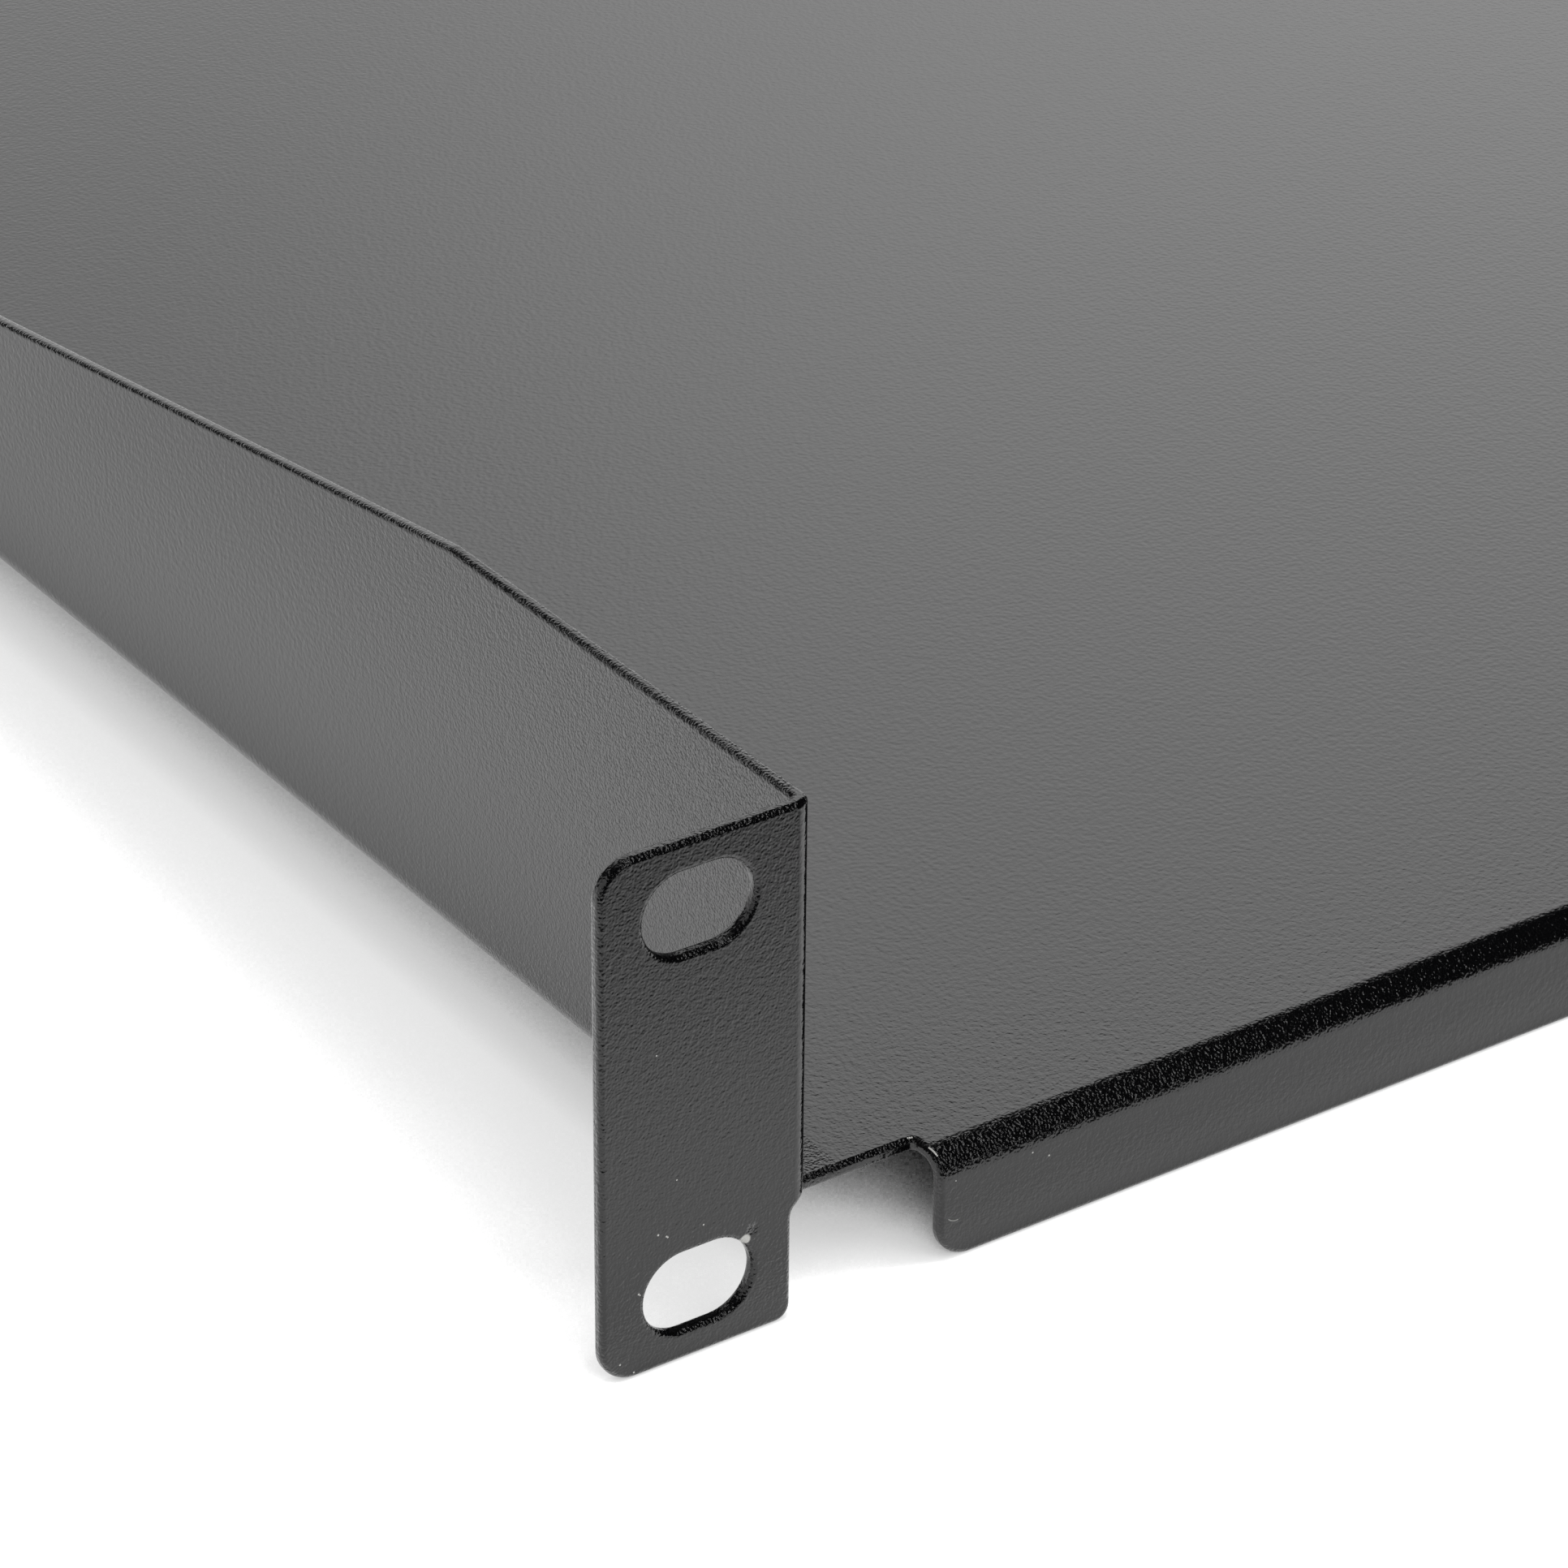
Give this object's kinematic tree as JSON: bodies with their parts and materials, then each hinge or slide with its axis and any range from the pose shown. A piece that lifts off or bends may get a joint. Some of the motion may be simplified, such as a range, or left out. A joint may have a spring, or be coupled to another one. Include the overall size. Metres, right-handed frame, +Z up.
{
  "type": "cantilever rack shelf",
  "caption": "One-unit cantilever rack shelf folded from one steel sheet: tray with downturned lips, tapering side walls and slotted front ears.",
  "frame": {"origin": "middle of the four rack slots, on the rear face of the ears, which seats on the rack's rails", "axes": "+X across the rack to the right seen from the front, +Y into the rack, +Z up"},
  "size_m": [0.482, 0.2545, 0.0434],
  "materials": {
    "powder_coat": "black fine-texture powder coat on folded steel sheet"
  },
  "bodies": {
    "root": {"shelf": "powder_coat"}
  },
  "joints": []
}
